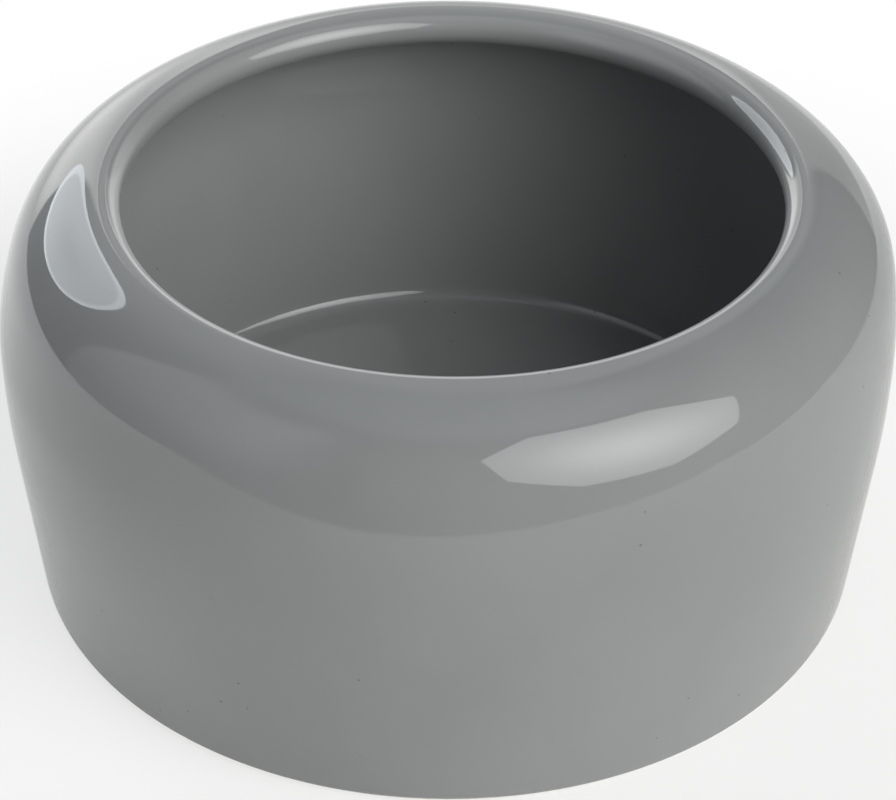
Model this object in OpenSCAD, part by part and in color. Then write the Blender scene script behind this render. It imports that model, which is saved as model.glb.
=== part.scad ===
// Round bowl for small animals, one piece of glazed ceramic. The wall bulges to a widest ring,
// then turns in over the hollow and ends in a round lip, so that feed stays inside. Below that ring
// the wall thickens towards the floor. Lengths are in millimetres and angles in degrees. The origin
// is the middle of the base, on the table, +Z up.

/* [Body] */
// Diameter at the widest ring of the wall
body_d = 130; // [100:1:200]
// Height from the table to the top of the rim
body_h = 63; // [52:1:110]
// Thickness of the wall from the widest ring up, and of the lip, which is a full round of it
wall_t = 5.5; // [3.5:0.1:7]

/* [Lower wall] */
// Lean of the straight wall above the foot, in from the vertical
wall_lean = 6; // [2:0.5:10]
// Bend radius of the outside between the straight wall and the widest ring
belly_r = 140; // [60:5:220]
// Rounding of the outer bottom edge
edge_r = 2; // [1:0.5:6]

/* [Shoulder and rim] */
// How far the mouth lies in from the widest ring
rim_in = 17.6; // [14:0.1:26]
// Bend radius of the outside just above the widest ring
upper_r = 50; // [30:1:80]
// Slope at which the upper wall passes into the tighter shoulder
shoulder_start = 15; // [5:1:30]
// Slope at which the shoulder passes into the lip, where 90 is level
shoulder_end = 86; // [70:1:90]

/* [Hollow below the widest ring] */
// Lean of the inside, in from the vertical, where its long upper bend ends
hollow_lean = 11.5; // [8:0.5:14]
// Radius of the bend below that, which turns the inside further in
hollow_low_r = 40; // [20:1:60]
// Lean of the inside where that bend ends and the corner starts
corner_lean = 18; // [15:0.5:25]
// Radius of the corner between the inside and the floor
corner_r = 3; // [2:0.5:10]

/* [Floor and foot] */
// Thickness of the floor
floor_t = 4.1; // [3:0.1:8]
// Width of the flat ring that the bowl stands on
foot_w = 5; // [3:0.5:9]
// Depth of the hollow under the base
recess_h = 1.5; // [0.8:0.1:3]

/* [Hidden] */
glaze_colour = [0.55, 0.56, 0.56];
// Largest turn between two points of an arc, and sides of the full revolution
arc_step = 5;
$fn = 180;

// A point at distance r and angle a from the origin
function polar(r, a) = [r*cos(a), r*sin(a)];
// Points along an arc from angle a0 to a1, without its first point, where the line before it ends
function arc(centre, r, a0, a1) =
    let (n = ceil(abs(a1 - a0)/arc_step))
    [for (i = [1:n]) centre + polar(r, a0 + (a1 - a0)*i/n)];

// The shoulder's radius follows from the width that its bends and the lip have to cover
body_r = body_d/2;
lip_r = wall_t/2;
shoulder_r = (rim_in - lip_r*(1 + cos(shoulder_end)) - upper_r*(1 - cos(shoulder_start)))
    /(cos(shoulder_start) - cos(shoulder_end));
// The widest ring lies where the bends above it end at the full height
belly_z = body_h - lip_r - (upper_r - shoulder_r)*sin(shoulder_start)
    - (shoulder_r - lip_r)*sin(shoulder_end);

// Centres of the bends: each bend starts on the line through its own centre and the last one
belly_c = [body_r - belly_r, belly_z];
upper_c = [body_r - upper_r, belly_z];
shoulder_c = upper_c + polar(upper_r - shoulder_r, shoulder_start);
lip_c = shoulder_c + polar(shoulder_r - lip_r, shoulder_end);

// The straight wall starts at the lower end of the belly's bend
straight_top = belly_c + polar(belly_r, -wall_lean);
// The outer bottom edge touches the table and the line of the straight wall
edge_c = [
    straight_top[0] - ((straight_top[1] - edge_r)*sin(wall_lean) + edge_r)/cos(wall_lean),
    edge_r];
foot_in_r = edge_c[0] - foot_w;
floor_z = recess_h + floor_t;

// The long bend of the inside covers the height that the two bends below it leave
hollow_r = (belly_z - floor_z - corner_r*(1 - sin(corner_lean))
    - hollow_low_r*(sin(corner_lean) - sin(hollow_lean)))/sin(hollow_lean);
hollow_c = [body_r - wall_t - hollow_r, belly_z];
hollow_low_c = hollow_c + polar(hollow_r - hollow_low_r, -hollow_lean);
corner_c = hollow_low_c + polar(hollow_low_r - corner_r, -corner_lean);

// Outside from the foot up to the lip. The outer edge's arc ends where the straight wall begins.
outside = concat(
    arc(edge_c, edge_r, -90, -wall_lean),
    [straight_top],
    arc(belly_c, belly_r, -wall_lean, 0),
    arc(upper_c, upper_r, 0, shoulder_start),
    arc(shoulder_c, shoulder_r, shoulder_start, shoulder_end));
lip = arc(lip_c, lip_r, shoulder_end, shoulder_end + 180);
// Inside from the lip down to the floor, about the outside's centres as far as the widest ring
inside = concat(
    arc(shoulder_c, shoulder_r - wall_t, shoulder_end, shoulder_start),
    arc(upper_c, upper_r - wall_t, shoulder_start, 0),
    arc(hollow_c, hollow_r, 0, -hollow_lean),
    arc(hollow_low_c, hollow_low_r, -hollow_lean, -corner_lean),
    arc(corner_c, corner_r, -corner_lean, -90),
    [[0, floor_z]]);
// Underside from the axis out to the foot ring, whose inner edge is an S of two quarter rounds
recess_edge_r = recess_h/2;
underside = concat(
    [[0, recess_h], [foot_in_r - recess_h, recess_h]],
    arc([foot_in_r - recess_h, recess_edge_r], recess_edge_r, 90, 0),
    arc([foot_in_r, recess_edge_r], recess_edge_r, 180, 270),
    [[edge_c[0], 0]]);

module bowl() {
    color(glaze_colour)
        rotate_extrude()
            polygon(concat(outside, lip, inside, underside));
}

bowl();
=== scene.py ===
import math
import bpy
import numpy as np
from mathutils import Matrix, Vector


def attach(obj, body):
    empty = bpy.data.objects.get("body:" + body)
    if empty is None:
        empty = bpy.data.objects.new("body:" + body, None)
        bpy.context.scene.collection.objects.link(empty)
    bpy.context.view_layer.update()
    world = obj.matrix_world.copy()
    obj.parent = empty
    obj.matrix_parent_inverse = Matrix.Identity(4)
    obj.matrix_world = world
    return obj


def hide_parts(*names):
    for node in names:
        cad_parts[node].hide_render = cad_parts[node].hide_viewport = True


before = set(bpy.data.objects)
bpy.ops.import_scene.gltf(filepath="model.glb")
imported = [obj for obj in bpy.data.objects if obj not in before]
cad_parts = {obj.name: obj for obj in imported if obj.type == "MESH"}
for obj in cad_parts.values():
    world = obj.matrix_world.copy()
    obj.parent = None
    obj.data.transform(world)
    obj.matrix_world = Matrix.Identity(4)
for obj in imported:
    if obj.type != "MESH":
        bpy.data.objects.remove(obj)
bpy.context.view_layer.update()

mm = 0.001


# a shader value: arithmetic on it adds Math nodes to the same tree
class Wire:
    def __init__(self, socket):
        self.socket = socket

    def joined(self, operation, first, second=0.0):
        tree = self.socket.id_data
        node = tree.nodes.new("ShaderNodeMath")
        node.operation = operation
        for slot, value in zip(node.inputs, (first, second)):
            if isinstance(value, Wire):
                tree.links.new(value.socket, slot)
            else:
                slot.default_value = value
        return Wire(node.outputs[0])

    def __add__(self, other):
        return self.joined("ADD", self, other)

    def __radd__(self, other):
        return self.joined("ADD", other, self)

    def __sub__(self, other):
        return self.joined("SUBTRACT", self, other)

    def __rsub__(self, other):
        return self.joined("SUBTRACT", other, self)

    def __mul__(self, other):
        return self.joined("MULTIPLY", self, other)

    def __rmul__(self, other):
        return self.joined("MULTIPLY", other, self)

    def __truediv__(self, other):
        return self.joined("DIVIDE", self, other)

    def __rtruediv__(self, other):
        return self.joined("DIVIDE", other, self)

    def __pow__(self, other):
        return self.joined("POWER", self, other)

    def __lt__(self, other):
        return self.joined("LESS_THAN", self, other)

    def __neg__(self):
        return self.joined("SUBTRACT", 0.0, self)

    # the larger of the two, the smaller of the two, and any operation on this value alone
    def most(self, other):
        return self.joined("MAXIMUM", self, other)

    def least(self, other):
        return self.joined("MINIMUM", self, other)

    def done(self, operation):
        return self.joined(operation, self)

    # 0 at start, 1 at end, held flat outside them, with eased ends: 3 s^2 - 2 s^3
    def eased(self, start, end):
        share = ((self - start) / (end - start)).most(0.0).least(1.0)
        return share * share * (3.0 - 2.0 * share)

    # the other way round: 1 at start, 0 at end
    def faded(self, start, end):
        return 1.0 - self.eased(start, end)


def rgba(colour):
    return (*colour, 1.0)


rayOutputs = {"camera": 0, "glossy": 3, "transmission": 6}   # of the Light Path node


# the node tree of one material or of the world
class Finish:
    def __init__(self, owner):
        owner.use_nodes = True
        self.tree = owner.node_tree
        self.tree.nodes.clear()

    # any node: its type, its settings, then values or wires for its sockets; gives back one output
    def node(self, kind, settings=None, sockets=None, output=0):
        made = self.tree.nodes.new(kind)
        for name, value in (settings or {}).items():
            setattr(made, name, value)
        for name, value in (sockets or {}).items():
            if isinstance(value, Wire):
                self.tree.links.new(value.socket, made.inputs[name])
            else:
                made.inputs[name].default_value = value
        return Wire(made.outputs[output]) if len(made.outputs) else made

    def vectors(self, operation, values, output=0):
        sockets = dict(enumerate(values))
        return self.node("ShaderNodeVectorMath", {"operation": operation}, sockets, output)

    def colourMix(self, share, first, second):
        sockets = {0: share, 6: first, 7: second}
        return self.node("ShaderNodeMix", {"data_type": "RGBA"}, sockets, 2)

    def noise(self, point, scale, detail=2.0, output=0):
        sockets = {"Vector": point, "Scale": scale, "Detail": detail}
        return self.node("ShaderNodeTexNoise", sockets=sockets, output=output)

    def glow(self, colour, strength):
        sockets = {"Color": rgba(colour), "Strength": strength}
        return self.node("ShaderNodeEmission", sockets=sockets)

    def shaderMix(self, share, first, second):
        return self.node("ShaderNodeMixShader", sockets={0: share, 1: first, 2: second})

    # 1 for rays of that kind, 0 for others
    def ray(self, kind):
        return self.node("ShaderNodeLightPath", output=rayOutputs[kind])

    # the point as a vector, and its x, y and z
    def place(self):
        point = self.node("ShaderNodeTexCoord", output=3)
        parts = [self.node("ShaderNodeSeparateXYZ", sockets={0: point}, output=n) for n in range(3)]
        return point, parts

    def end(self, shader, kind="ShaderNodeOutputMaterial"):
        self.node(kind, sockets={"Surface": shader})


# how far a point is from the upright axis: the root of x^2 + y^2
def fromAxis(x, y):
    return (x * x + y * y) ** 0.5


# a mesh from corner points and faces, at the origin
def meshPiece(name, points, faces, material, smooth=True):
    mesh = bpy.data.meshes.new(name)
    mesh.from_pydata(np.asarray(points, float).tolist(), [], faces)
    mesh.polygons.foreach_set("use_smooth", np.full(len(mesh.polygons), smooth))
    mesh.materials.append(material)
    mesh.update()
    piece = bpy.data.objects.new(name, mesh)
    bpy.context.scene.collection.objects.link(piece)
    return piece


# unit direction: azimuth turns from the front (-Y) to the right (+X), elevation rises from level
def direction(azimuth, elevation):
    a, e = math.radians(azimuth), math.radians(elevation)
    return np.array([math.sin(a) * math.cos(e), -math.cos(a) * math.cos(e), math.sin(e)])


bowlShape = {  # millimetres and degrees
    "bodyRadius": 65.0,              # at the widest ring
    "height": 63.0,
    "wall": 5.5,                     # thickness above the widest ring
    "wallLean": 6.0,                 # of the straight lower outside
    "bellyRound": 140.0,             # outside arc from the straight to the widest ring
    "upperRound": 50.0,              # outside arc above the widest ring
    "shoulderRound": 14.4554,
    "shoulderStart": 15.0,
    "shoulderEnd": 86.0,
    "baseRound": 2.0,
    "insideBelly": (137.0, 11.5),    # inside arc under the widest ring: radius, lean at its end
    "insideLow": (40.0, 18.0),       # the arc under it
    "corner": 3.0,                   # between wall and floor
    "footWidth": 5.0,
    "recess": 1.5,
    "lipInside": 3.05,               # how far the lip's inner half reaches in from its middle
    "mouthShift": 0.6,               # the mouth sits this far to the right of the body
    "shiftRise": (40.0, 57.0),       # heights between which the wall leans over to it
    "boxFit": 0.9995,                # keeps the round piece in the box of the many-sided solid
    "sides": 360,                    # points round it
    "steps": {                       # degrees from point to point along each arc
        "base": 10, "belly": 0.6, "upper": 1.5, "shoulder": 4, "lip": 6,
        "upperInside": 1, "lowerInside": 0.5, "corner": 8, "foot": 15,
    },
    "counts": {"wall": 12, "floor": 24, "recess": 20, "foot": 4},   # points along each straight
}


# points of one arc: centre + radius (cos, sin), from angle start to angle end, without its first
def arc(centre, radius, start, end, step):
    count = max(1, math.ceil(abs(end - start) / step))
    a = np.radians(start + (end - start) * np.arange(1, count + 1) / count)
    return np.stack([centre[0] + radius * np.cos(a), centre[1] + radius * np.sin(a)], 1)


# 0 below low, 1 above high, with eased ends: 3 s^2 - 2 s^3
def eased(values, low, high):
    share = np.clip((values - low) / (high - low), 0, 1)
    return share * share * (3 - 2 * share)


# the point at that radius and angle: radius (cos, sin)
def polar(radius, angle):
    return radius * np.array([math.cos(math.radians(angle)), math.sin(math.radians(angle))])


# points from one radius to another at the same height
def level(start, end, height, count):
    return np.stack([np.linspace(start, end, count), np.full(count, height)], 1)


# the closed outline as radius and height: under the foot, up the outside, round the lip and down
# the inside to the axis; every arc starts where the last one ends, along the same tangent
def bowlOutline(s):
    step, count = s["steps"], s["counts"]
    lip, wallLean = s["wall"] / 2, s["wallLean"]
    start, end = s["shoulderStart"], s["shoulderEnd"]
    rise = ((s["upperRound"] - s["shoulderRound"]) * math.sin(math.radians(start))
            + (s["shoulderRound"] - lip) * math.sin(math.radians(end)))
    bellyZ = s["height"] - lip - rise
    belly = np.array([s["bodyRadius"] - s["bellyRound"], bellyZ])
    upper = np.array([s["bodyRadius"] - s["upperRound"], bellyZ])
    shoulder = upper + polar(s["upperRound"] - s["shoulderRound"], start)
    lipMiddle = shoulder + polar(s["shoulderRound"] - lip, end)

    # the base's rounding touches the table and the leaning straight
    lean, baseR = math.radians(wallLean), s["baseRound"]
    straightTop = belly + polar(s["bellyRound"], -wallLean)
    drop = (straightTop[1] - baseR) * math.sin(lean) + baseR
    baseMiddle = np.array([straightTop[0] - drop / math.cos(lean), baseR])
    baseEnd = baseMiddle + polar(baseR, -wallLean)
    along = np.linspace(0, 1, count["wall"] + 1)[1:, None]

    # the lip's inner half is a little wider than round
    roll = arc(lipMiddle, lip, end, end + 180, step["lip"])
    roll[:, 0] += np.minimum(roll[:, 0] - lipMiddle[0], 0) * (s["lipInside"] / lip - 1)
    wall = np.concatenate([
        arc(baseMiddle, baseR, -90, -wallLean, step["base"]),
        baseEnd + (straightTop - baseEnd) * along,
        arc(belly, s["bellyRound"], -wallLean, 0, step["belly"]),
        arc(upper, s["upperRound"], 0, start, step["upper"]),
        arc(shoulder, s["shoulderRound"], start, end, step["shoulder"]),
        roll,
        arc(shoulder, s["shoulderRound"] - s["wall"], end, start, step["shoulder"]),
        arc(upper, s["upperRound"] - s["wall"], start, 0, step["upperInside"])])

    # under the widest ring each arc turns the inside further in towards the floor
    inside, tilt = [wall[-1:]], 0.0
    for radius, nextTilt, fine in ((*s["insideBelly"], step["lowerInside"]),
                                   (*s["insideLow"], step["lowerInside"]),
                                   (s["corner"], 90.0, step["corner"])):
        centre = inside[-1][-1] - polar(radius, -tilt)
        inside.append(arc(centre, radius, -tilt, -nextTilt, fine))
        tilt = nextTilt
    inside = np.concatenate(inside[1:])
    floor = level(inside[-1, 0], 0, inside[-1, 1], count["floor"] + 1)[1:]

    # the foot's inner edge is an S of two quarter rounds
    footIn, r = baseMiddle[0] - s["footWidth"], s["recess"] / 2
    under = np.concatenate([
        level(0, footIn - s["recess"], s["recess"], count["recess"]),
        arc((footIn - s["recess"], r), r, 90, 0, step["foot"]),
        arc((footIn, r), r, 180, 270, step["foot"]),
        level(footIn, baseMiddle[0], 0, count["foot"] + 1)[1:]])
    return np.concatenate([under, wall, inside, floor])


# the outline carried round the upright axis: (r cos a, r sin a, z) for each of its points and each
# angle a; its first and last points lie on the axis and become one point each
def revolved(outline, sides):
    ring = outline[1:-1]
    a = np.radians(360.0 * np.arange(sides) / sides)
    grid = np.stack([ring[:, None, 0] * np.cos(a), ring[:, None, 0] * np.sin(a),
                     np.repeat(ring[:, 1:2], sides, 1)], 2)
    points = np.concatenate([grid.reshape(-1, 3),
                             [[0, 0, outline[0, 1]], [0, 0, outline[-1, 1]]]])
    rows, cols = len(ring), np.arange(sides)
    after = (cols + 1) % sides
    lower = (np.arange(rows - 1) * sides)[:, None]
    quads = np.stack([lower + cols, lower + after, lower + sides + after, lower + sides + cols], 2)
    under = np.stack([np.full(sides, rows * sides), after, cols], 1)
    top = (rows - 1) * sides
    floor = np.stack([np.full(sides, rows * sides + 1), top + cols, top + after], 1)
    return points, quads.reshape(-1, 4).tolist() + under.tolist() + floor.tolist()


glazeLook = {  # metres
    "grey": (0.250, 0.256, 0.256),       # where the glaze is thick
    "paleGrey": (0.264, 0.270, 0.270),   # where it is thinner
    "mottleSize": 0.03,                  # across a patch of tone
    "mottleRange": (0.3, 0.7),
    "mottleDetail": 3.0,
    "roughness": 0.03,
    "refraction": 1.5,
    "waveSize": 0.012,                   # between the soft waves of the surface
    "waveDepth": 0.00003,
    "waveDetail": 1.0,
    "pitSpacing": 0.004,                 # from cell to cell, few of which hold a small pit
    "pitRadius": 0.00023,
    "pitEdge": 0.6,                      # share of the radius inside which it is full
    "pitShare": 0.4,                     # of the cells
    "pitTone": (0.10, 0.10, 0.10),
    "pitColour": 0.7,                    # how much of that tone it takes
    "pitDent": 0.9,                      # its depth, in waves
    "hairSpacing": 0.014,                # between cells that may hold a pale hair mark
    "hairShare": 0.5,
    "hairHalf": 0.0009,                  # half its length
    "hairWidth": 0.00006,
    "hairTone": (0.40, 0.41, 0.41),
    "hairColour": 0.8,
    "hairBend": 0.0006,
    "hairBendScale": 700.0,
    "lipHighlightGrey": (0.54, 0.545, 0.54),     # painted highlight: a pale line over the lip's inner edge
    "lipHighlightAt": (0.0479, 0.0489),          # radius of that line at the sides and at the front
    "lipHighlightTurn": (0.012, 0.044),          # how far forward it goes from one to the other
    "lipHighlightReach": (0.0004, 0.0009),
    "lipHighlightAbove": (0.0603, 0.0612),
    "lipHighlightBack": (-0.010, 0.020),         # where along y it gets faint
    "lipHighlightBackShare": 0.12,               # what is left of it there
    "bareClay": (0.56, 0.52, 0.46),      # the foot ring has no glaze
    "bareHeight": 0.0004,
    "bareWander": 0.0003,
    "bareWanderScale": 90.0,
    "bareEdge": 0.00015,
    "bareRoughness": 0.75,
    "bareGrain": 1.5,                    # depth of its grain, in waves
    "bareGrainScale": 2500.0,
}


# pits: 1 near the middle of some cells, fading at the pit's radius
def pits(f, look, point):
    scale = 1 / look["pitSpacing"]
    cells = {"Vector": point, "Scale": scale}
    near = f.node("ShaderNodeTexVoronoi", sockets=cells)
    pick = f.node("ShaderNodeTexVoronoi", sockets=cells, output=1)
    chance = f.node("ShaderNodeSeparateColor", sockets={0: pick})
    reach = look["pitRadius"] * scale
    return near.faded(look["pitEdge"] * reach, reach) * (chance < look["pitShare"])


# hair marks: in some cells, a short line through the cell's middle, turned its own way and a
# little bent; a point's distance from that line is the root of length^2 - along^2
def hairMarks(f, look, point):
    bend = f.noise(point, look["hairBendScale"], output=1)
    swing = f.node("ShaderNodeVectorMath", {"operation": "SCALE"},
                   {0: bend, "Scale": look["hairBend"]})
    bent = f.vectors("ADD", (point, swing))
    cells = {"Vector": bent, "Scale": 1 / look["hairSpacing"]}
    middle = f.node("ShaderNodeTexVoronoi", sockets=cells, output=2)
    own = f.node("ShaderNodeTexVoronoi", sockets=cells, output=1)
    away = f.vectors("SUBTRACT", (bent, middle))
    heading = f.vectors("NORMALIZE", (f.vectors("SUBTRACT", (own, (0.5, 0.5, 0.5))),))
    along = f.vectors("DOT_PRODUCT", (away, heading), 1)
    length = f.vectors("LENGTH", (away,), 1)
    aside = (length * length - along * along).most(0.0) ** 0.5
    chance = f.node("ShaderNodeSeparateColor", sockets={0: own}, output=2)
    line = aside.faded(0.5 * look["hairWidth"], look["hairWidth"])
    return line * (along.done("ABSOLUTE") < look["hairHalf"]) * (chance < look["hairShare"])


# painted highlight: a pale ring on the lip's inner edge in place of its reflection, wider at the
# front and faint at the back
def paintedLipHighlight(look, x, y, z):
    side, front = look["lipHighlightAt"]
    radius = fromAxis(x - bowlShape["mouthShift"] * mm, y)
    off = radius - side - (-y).eased(*look["lipHighlightTurn"]) * (front - side)
    ring = off.done("ABSOLUTE").faded(*look["lipHighlightReach"]) * z.eased(*look["lipHighlightAbove"])
    return ring * (1.0 - y.eased(*look["lipHighlightBack"]) * (1.0 - look["lipHighlightBackShare"]))


# grey glaze: slight mottling, small pits, few hair marks and soft waves, a painted highlight along
# the lip's inner edge, and the bare clay of the foot ring below a wavering line
def glaze(look):
    material = bpy.data.materials.new("glaze")
    f = Finish(material)
    point, (x, y, z) = f.place()
    mottle = f.noise(point, 1 / look["mottleSize"], look["mottleDetail"])
    mottle = mottle.eased(*look["mottleRange"])
    pit = pits(f, look, point)
    hair = hairMarks(f, look, point)
    colour = f.colourMix(mottle, rgba(look["grey"]), rgba(look["paleGrey"]))
    colour = f.colourMix(pit * look["pitColour"], colour, rgba(look["pitTone"]))
    colour = f.colourMix(hair * look["hairColour"], colour, rgba(look["hairTone"]))
    # painted highlight: the pale line on the lip's inner edge
    colour = f.colourMix(paintedLipHighlight(look, x, y, z), colour, rgba(look["lipHighlightGrey"]))
    wander = f.noise(point, look["bareWanderScale"]) - 0.5
    line = look["bareHeight"] + wander * look["bareWander"]
    bare = (z - line).faded(0.0, look["bareEdge"])
    colour = f.colourMix(bare, colour, rgba(look["bareClay"]))
    waves = f.noise(point, 1 / look["waveSize"], look["waveDetail"])
    grain = f.noise(point, look["bareGrainScale"])
    height = waves - pit * look["pitDent"] + bare * grain * look["bareGrain"]
    bumps = f.node("ShaderNodeBump", sockets={
        "Strength": 1.0, "Distance": look["waveDepth"], "Height": height})
    roughness = look["roughness"] + bare * (look["bareRoughness"] - look["roughness"])
    f.end(f.node("ShaderNodeBsdfPrincipled", sockets={
        "Base Color": colour, "Roughness": roughness, "IOR": look["refraction"],
        "Normal": bumps}))
    return material


print("bowl")
outline = bowlOutline(bowlShape) * mm
points, faces = revolved(outline, bowlShape["sides"])
points[:, :2] *= bowlShape["boxFit"]
# the mouth's shift grows with an eased share of the height
points[:, 0] += eased(points[:, 2] / mm, *bowlShape["shiftRise"]) * bowlShape["mouthShift"] * mm
print("inside floor at %.2f mm, flat out to %.2f mm" % (
    points[-1, 2] / mm, outline[-1 - bowlShape["counts"]["floor"], 0] / mm))
bowl = meshPiece("glazed_bowl", points, faces, glaze(glazeLook))
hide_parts("bowl")
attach(bowl, "root")


boardLook = {
    "tone": (0.86, 0.86, 0.83),          # white board under the bowl
    "corners": ((-0.50, -0.26), (0.13, -0.26), (0.17, -0.24), (0.27, -0.18), (0.35, -0.13),
                (0.58, -0.03), (0.65, 0.40), (0.50, 0.90), (-0.55, 0.90)),
    "frontFade": (-0.235, -0.215),       # where along y it fades out in front
    "sideways": (0.495, -0.869),         # a slanting direction on the right
    "sideFade": (0.235, 0.255),          # where along it the board fades out
    "shadowShare": 0.32,                 # of its own light and shadow that shows near the bowl
    "shadowReach": (0.09, 0.17),
    "glossBase": 0.2,                    # how white it is in the gloss
    "glossRight": (0.03, 0.09),          # where along x that ends
    "glossLampPool": 0.75,                 # painted light: how much whiter it glows in the gloss behind the bowl on the left, as a pool of the round lamp's light
    "behind": (-0.62, 0.78),             # in that direction, below the round lamp
    "behindReach": (-0.05, 0.2),
    "glossExtra": 0.25,                  # how much brighter than white
    "leftGlow": 0.45,                    # the panel's light that it gives back on the left
    "leftFade": (-0.08, 0.0),
}


# a white board that shows its own light and shadow near the bowl and plain white further out
def boardWhite(look):
    material = bpy.data.materials.new("board_white")
    f = Finish(material)
    x, y = f.place()[1][:2]
    seen, mirrored, through = f.ray("camera"), f.ray("glossy"), f.ray("transmission")
    near = fromAxis(x, y).faded(*look["shadowReach"])
    # painted light: a pool of the round lamp's light on the board, seen only in the gloss
    behind = (x * look["behind"][0] + y * look["behind"][1]).eased(*look["behindReach"])
    gloss = (look["glossBase"] + look["glossLampPool"] * behind
             - look["glossBase"] * x.eased(*look["glossRight"]))
    share = seen.most(mirrored * gloss).most(through) * (1.0 - look["shadowShare"] * near)
    slanted = x * look["sideways"][0] + y * look["sideways"][1]
    there = y.eased(*look["frontFade"]) * slanted.faded(*look["sideFade"])
    lit = f.node("ShaderNodeBsdfDiffuse", sockets={"Color": rgba(look["tone"])})
    white = f.glow((1, 1, 1), 1.0 + mirrored * look["glossExtra"])
    given = f.glow((1, 1, 1), (1.0 - seen) * (1.0 - mirrored)
                   * x.faded(*look["leftFade"]) * look["leftGlow"])
    board = f.shaderMix(share, lit, white)
    board = f.node("ShaderNodeAddShader", sockets={0: board, 1: given})
    clear = f.node("ShaderNodeBsdfTransparent")
    f.end(f.shaderMix(there, clear, board))
    return material


print("board")
corners = np.array(boardLook["corners"])
board = meshPiece("board", np.column_stack([corners, np.zeros(len(corners))]),
                  [list(range(len(corners)))], boardWhite(boardLook), smooth=False)


octagonLook = {  # a lamp in front on the right
    "seenFrom": (0.035, -0.045, 0.057), "azimuth": 44.5, "elevation": 32.8, "distance": 1.5,
    "apothem": 0.842, "turned": 7.0,
    "edge": 2.45, "hot": 3.9, "hotAt": (46.5, 34.5), "hotSize": 0.58,
    "tint": (1.0, 1.0, 1.0),
}

roundLook = {  # a lamp behind on the left, with a brighter thin rim and a dimmer middle
    "seenFrom": (-0.050, -0.013, 0.061), "azimuth": -139.8, "elevation": 27.1, "distance": 1.0,
    "halfWidth": 0.323, "halfHeight": 0.302, "turned": 15.0, "points": 64,
    "strength": 3.3, "dim": 0.13, "dimSize": 0.4,
    "rim": 4.6, "rimWidth": 0.075, "rimBlur": 0.5,
    "tint": (0.95, 1.0, 1.04),
}


# a lamp's directions: out to it, and across and up in its own turned plane
def lampAxes(look):
    out = direction(look["azimuth"], look["elevation"])
    across = np.cross(out, (0, 0, 1.0))
    across /= np.linalg.norm(across)
    up = np.cross(across, out)
    t = math.radians(look["turned"])
    return (out, across * math.cos(t) + up * math.sin(t), up * math.cos(t) - across * math.sin(t))


# corners of a lamp: middle + halfWidth cos(t) across + halfHeight sin(t) up
def lampPoints(look, count, halfWidth, halfHeight, offset=0.0):
    out, across, up = lampAxes(look)
    t = np.radians(360 * (np.arange(count) + offset) / count)
    return (out * look["distance"] + look["seenFrom"]
            + np.outer(np.cos(t) * halfWidth, across) + np.outer(np.sin(t) * halfHeight, up))


# brightest at the hot spot: edge + hot e^(-(distance / size)^2)
def octagonLight(look):
    material = bpy.data.materials.new("octagon_light")
    f = Finish(material)
    point = f.place()[0]
    hot = direction(*look["hotAt"]) * look["distance"] + look["seenFrom"]
    away = f.vectors("DISTANCE", (point, tuple(hot)), 1) / look["hotSize"]
    fall = (-(away * away)).done("EXPONENT")
    f.end(f.glow(look["tint"], look["edge"] + look["hot"] * fall))
    return material


# reach is 0 in the middle of the lamp and 1 at its edge
def roundLight(look):
    material = bpy.data.materials.new("round_light")
    f = Finish(material)
    point = f.place()[0]
    out, across, up = lampAxes(look)
    off = f.vectors("SUBTRACT", (point, tuple(out * look["distance"] + look["seenFrom"])))
    u = f.vectors("DOT_PRODUCT", (off, tuple(across / look["halfWidth"])), 1)
    v = f.vectors("DOT_PRODUCT", (off, tuple(up / look["halfHeight"])), 1)
    reach = (u * u + v * v) ** 0.5
    width = look["rimWidth"]
    rim = reach.eased(1 - width * (1 + look["rimBlur"]), 1 - width)
    dim = (-(reach * reach / look["dimSize"] ** 2)).done("EXPONENT")
    strength = look["strength"] * (1.0 - dim * look["dim"])
    f.end(f.glow(look["tint"], strength + rim * (look["rim"] - look["strength"])))
    return material


print("lamps")
corner = octagonLook["apothem"] / math.cos(math.pi / 8)   # from the middle to a corner
octagonPoints = lampPoints(octagonLook, 8, corner, corner, 0.5)   # half a side round
octagonLamp = meshPiece("octagon_lamp", octagonPoints, [list(range(8))],
                        octagonLight(octagonLook), smooth=False)
roundPoints = lampPoints(roundLook, roundLook["points"],
                         roundLook["halfWidth"], roundLook["halfHeight"])
roundLamp = meshPiece("round_lamp", roundPoints, [list(range(len(roundPoints)))],
                      roundLight(roundLook), smooth=False)


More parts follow.
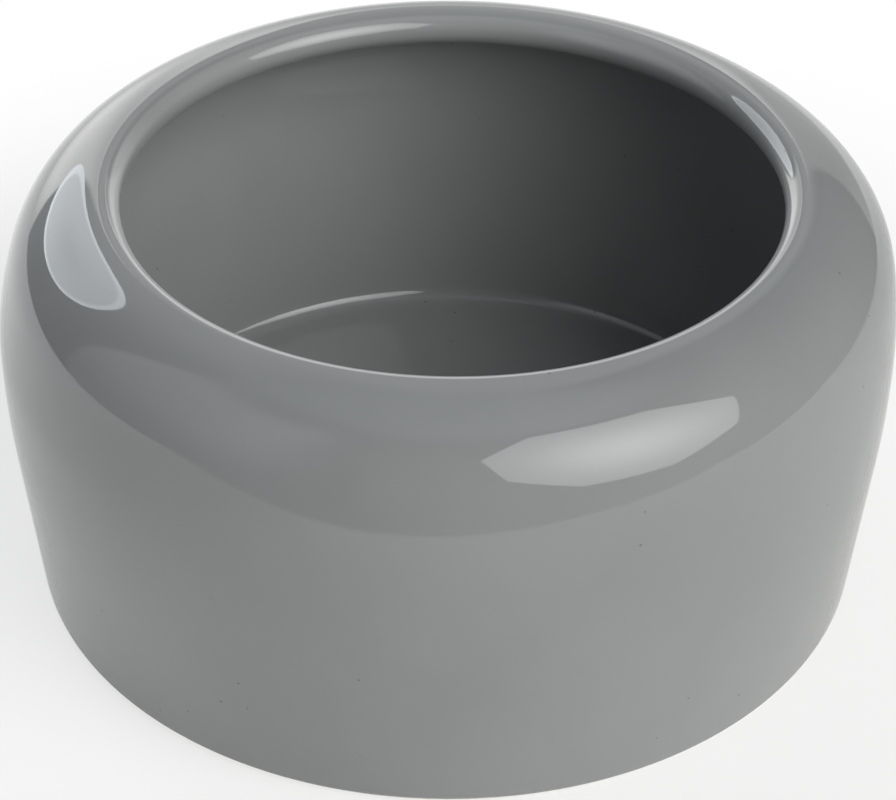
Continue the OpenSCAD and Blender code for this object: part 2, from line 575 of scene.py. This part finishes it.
# how bright the room is, by degrees: rise above level, turn from the front to the right, and back
# from straight behind to the right
roomLook = {
    "radius": 4.0,
    "rows": 48,
    "columns": 96,
    "tint": (0.97, 0.99, 1.02),
    "dark": 0.07,
    "darkRight": 0.02,                   # between these turns
    "rightStart": (70.0, 90.0),
    "rightEnd": (146.0, 154.0),
    "nearLamp": 0.10,                    # spill round the octagon
    "nearLampReach": (27.0, 44.0),
    "overhead": (0.22, 0.24, 0.27),
    "overheadRise": (58.0, 72.0),
    "overheadGloss": 1.2,                # how much more of it the gloss shows
    "columnTone": 0.80,                  # paler wall high behind
    "columnRight": (12.0, 22.0),
    "columnLeft": ((2.0, 16.0, 0.35), (20.0, 66.0, 0.5)),   # it falls by these shares
    "columnLeftEnd": (60.0, 76.0),
    "columnBottom": (20.0, 34.0),
    "columnLow": (6.0, 16.0),            # left of this it reaches down to level
    "columnTop": (52.0, 80.0),
    "panelTint": (0.95, 0.98, 1.06),     # pale panel on the left
    "panelLeft": (-104.0, -101.0),
    "panelRight": (-48.0, -24.0),
    "panelTop": (48.0, 66.0),
    "panelLow": 0.30,
    "panelHigh": 0.75,
    "panelRise": (-4.0, 34.0),
    "panelBright": -52.0,                # its brighter end
    "panelBrightReach": (4.0, 18.0),
    "panelBrightShare": 0.3,
    "panelCast": (0.45, 0.10),           # the light it casts, low down and higher up
    "castRise": (8.0, 26.0),
    "sweepTint": (1.0, 1.0, 0.98),       # arched white sweep behind
    "sweepMiddle": -3.0,
    "sweepHalf": (36.5, 42.0),
    "sweepTop": 36.0,
    "sweepEdge": (-0.8, 1.2),
    "dipLowest": 12.0,                   # its top dips in the middle
    "dipDeep": 10.0,
    "dipMiddle": 2.0,
    "dipHalf": 8.5,
    "sweepMid": 0.92,
    "sweepHigh": 2.3,                    # upper part of its middle, in the gloss
    "sweepHighRise": (2.0, 22.0),
    "sweepHighLeft": (7.0, 15.0),
    "sweepHighRight": (11.0, 15.0),
    "sweepRight": 0.52,
    "sweepRightward": (12.0, 30.0),
    "sweepLeft": 2.25,                   # brightest on the left
    "sweepLeftAt": -26.0,
    "sweepLeftReach": (4.0, 22.0),
    "sweepLeftRise": (-10.0, 8.0),
    "sweepLeftGloss": 0.35,
}


# paler wall high behind, fading to the left and upwards
def columnTone(look, back, rise):
    column = back.faded(*look["columnRight"]) * (-back).faded(*look["columnLeftEnd"])
    fall = 1.0
    for start, end, share in look["columnLeft"]:
        fall = fall - (-back).eased(start, end) * share
    low = back.faded(*look["columnLow"])
    upright = rise.eased(*look["columnBottom"]).most(low * low) * rise.faded(*look["columnTop"])
    return column * fall * upright * look["columnTone"]


# pale panel on the left, brighter upwards and near its right end in the gloss; the light that it
# casts comes from low down
def panelTone(look, turn, rise, mirrored):
    more = look["panelHigh"] - look["panelLow"]
    tone = look["panelLow"] + rise.eased(*look["panelRise"]) * more
    bright = (turn - look["panelBright"]).done("ABSOLUTE").faded(*look["panelBrightReach"])
    tone = tone * (1.0 + look["panelBrightShare"] * bright)
    low, high = look["panelCast"]
    cast = low - rise.eased(*look["castRise"]) * (low - high)
    return cast + mirrored * (tone - cast)


# where the sweep is: below top (1 - aside^2), with aside 1 at its ends, and in the middle below
# lowest + deep off^4, with off 1 at half the dip's width
def sweepShape(look, back, rise):
    middle, (leftHalf, rightHalf) = look["sweepMiddle"], look["sweepHalf"]
    aside = ((back - middle) / rightHalf).most((middle - back) / leftHalf)
    off = (back - look["dipMiddle"]) / look["dipHalf"]
    arch = look["sweepTop"] * (1.0 - aside * aside)
    dip = look["dipLowest"] + look["dipDeep"] * off * off * off * off
    return (arch.least(dip) - rise).eased(*look["sweepEdge"])


# the sweep is brighter on the left, and in the gloss brighter upwards in its middle
def sweepTone(look, back, rise, mirrored):
    upper = (rise.eased(*look["sweepHighRise"]) * (-back).faded(*look["sweepHighLeft"])
             * back.faded(*look["sweepHighRight"]))
    tone = look["sweepMid"] + mirrored * upper * (look["sweepHigh"] - look["sweepMid"])
    tone = tone - back.eased(*look["sweepRightward"]) * (look["sweepMid"] - look["sweepRight"])
    left = (back - look["sweepLeftAt"]).done("ABSOLUTE").faded(*look["sweepLeftReach"])
    left = left * rise.eased(*look["sweepLeftRise"]) * (look["sweepLeft"] - look["sweepMid"])
    return tone + left * (1.0 + mirrored * look["sweepLeftGloss"])


# the room round the bowl: dark, with a pale panel on the left, a white sweep behind and a dim
# ceiling; a point's angles come from its place on the sphere
def roomLight(look):
    material = bpy.data.materials.new("room_light")
    f = Finish(material)
    point, (x, y, z) = f.place()
    mirrored = f.ray("glossy")
    degrees = 180 / math.pi
    turn = x.joined("ARCTAN2", x, -y) * degrees
    back = x.joined("ARCTAN2", x, y) * degrees
    rise = (z / look["radius"]).done("ARCSINE") * degrees
    right = turn.eased(*look["rightStart"]) * turn.faded(*look["rightEnd"])
    tone = look["dark"] + right * (look["darkRight"] - look["dark"])
    hot = direction(*octagonLook["hotAt"]) / look["radius"]
    apart = f.vectors("DOT_PRODUCT", (point, tuple(hot)), 1).done("ARCCOSINE") * degrees
    tone = tone.most(look["nearLamp"] * apart.faded(*look["nearLampReach"]))
    tone = tone.most(columnTone(look, back, rise))
    high = rise.eased(*look["overheadRise"])
    plain = f.glow(look["tint"], tone * (1.0 - high))
    above = f.glow(look["overhead"], high * (1.0 + mirrored * look["overheadGloss"]))
    room = f.node("ShaderNodeAddShader", sockets={0: plain, 1: above})
    panel = (turn.eased(*look["panelLeft"]) * turn.faded(*look["panelRight"])
             * rise.faded(*look["panelTop"]))
    room = f.shaderMix(panel, room, f.glow(look["panelTint"],
                                           panelTone(look, turn, rise, mirrored)))
    sweep = sweepShape(look, back, rise)
    room = f.shaderMix(sweep, room, f.glow(look["sweepTint"],
                                           sweepTone(look, back, rise, mirrored)))
    f.end(room)
    material.cycles.emission_sampling = "NONE"
    return material


# a full sphere: (cos e cos a, cos e sin a, sin e) times radius, closed by one face at each end
def globe(radius, rows, cols):
    a = np.radians(360 * np.arange(cols) / cols)
    e = np.radians(-90 + 180 * (np.arange(rows) + 0.5) / rows)
    grid = np.stack([np.cos(e)[:, None] * np.cos(a), np.cos(e)[:, None] * np.sin(a),
                     np.repeat(np.sin(e)[:, None], cols, 1)], 2)
    here = np.arange(cols)
    after = (here + 1) % cols
    low = (np.arange(rows - 1) * cols)[:, None]
    quads = np.stack([low + here, low + after, low + cols + after, low + cols + here], 2)
    ends = [list(range(cols)), list(range((rows - 1) * cols, rows * cols))]
    return grid.reshape(-1, 3) * radius, quads.reshape(-1, 4).tolist() + ends


print("room")
roomPoints, roomFaces = globe(roomLook["radius"], roomLook["rows"], roomLook["columns"])
room = meshPiece("room", roomPoints, roomFaces, roomLight(roomLook))
for piece in (room, octagonLamp, roundLamp):
    piece.visible_camera = False

# plain white behind everything, which only the camera sees
world = bpy.data.worlds.new("white")
bpy.context.scene.world = world
f = Finish(world)
white = f.node("ShaderNodeBackground", sockets={"Color": rgba((1, 1, 1)), "Strength": 1.0})
f.end(white, "ShaderNodeOutputWorld")
world.cycles.sampling_method = "NONE"


cameraView = {
    "place": (0.0, -0.348656, 0.274896),
    "pitch": 35.7475, "yaw": 0.0213, "roll": 0.4398,   # degrees down, to the right, clockwise
    "lens": 115.35, "sensor": 36.0,
    "nearest": 0.01, "furthest": 50.0,
}

print("camera")
pitch, yaw, roll = (math.radians(cameraView[name]) for name in ("pitch", "yaw", "roll"))
ahead = Vector((math.sin(yaw) * math.cos(pitch), math.cos(yaw) * math.cos(pitch), -math.sin(pitch)))
right = ahead.cross(Vector((0, 0, 1))).normalized()
up = right.cross(ahead)
rightTurned = right * math.cos(roll) + up * math.sin(roll)
upTurned = up * math.cos(roll) - right * math.sin(roll)
turned = Matrix((rightTurned, upTurned, -ahead)).transposed().to_4x4()
lens = bpy.data.cameras.new("camera")
lens.lens, lens.sensor_width = cameraView["lens"], cameraView["sensor"]
lens.clip_start, lens.clip_end = cameraView["nearest"], cameraView["furthest"]
camera = bpy.data.objects.new("camera", lens)
camera.matrix_world = Matrix.Translation(cameraView["place"]) @ turned
bpy.context.scene.collection.objects.link(camera)
bpy.context.scene.camera = camera
bpy.context.scene.view_settings.view_transform = "Standard"
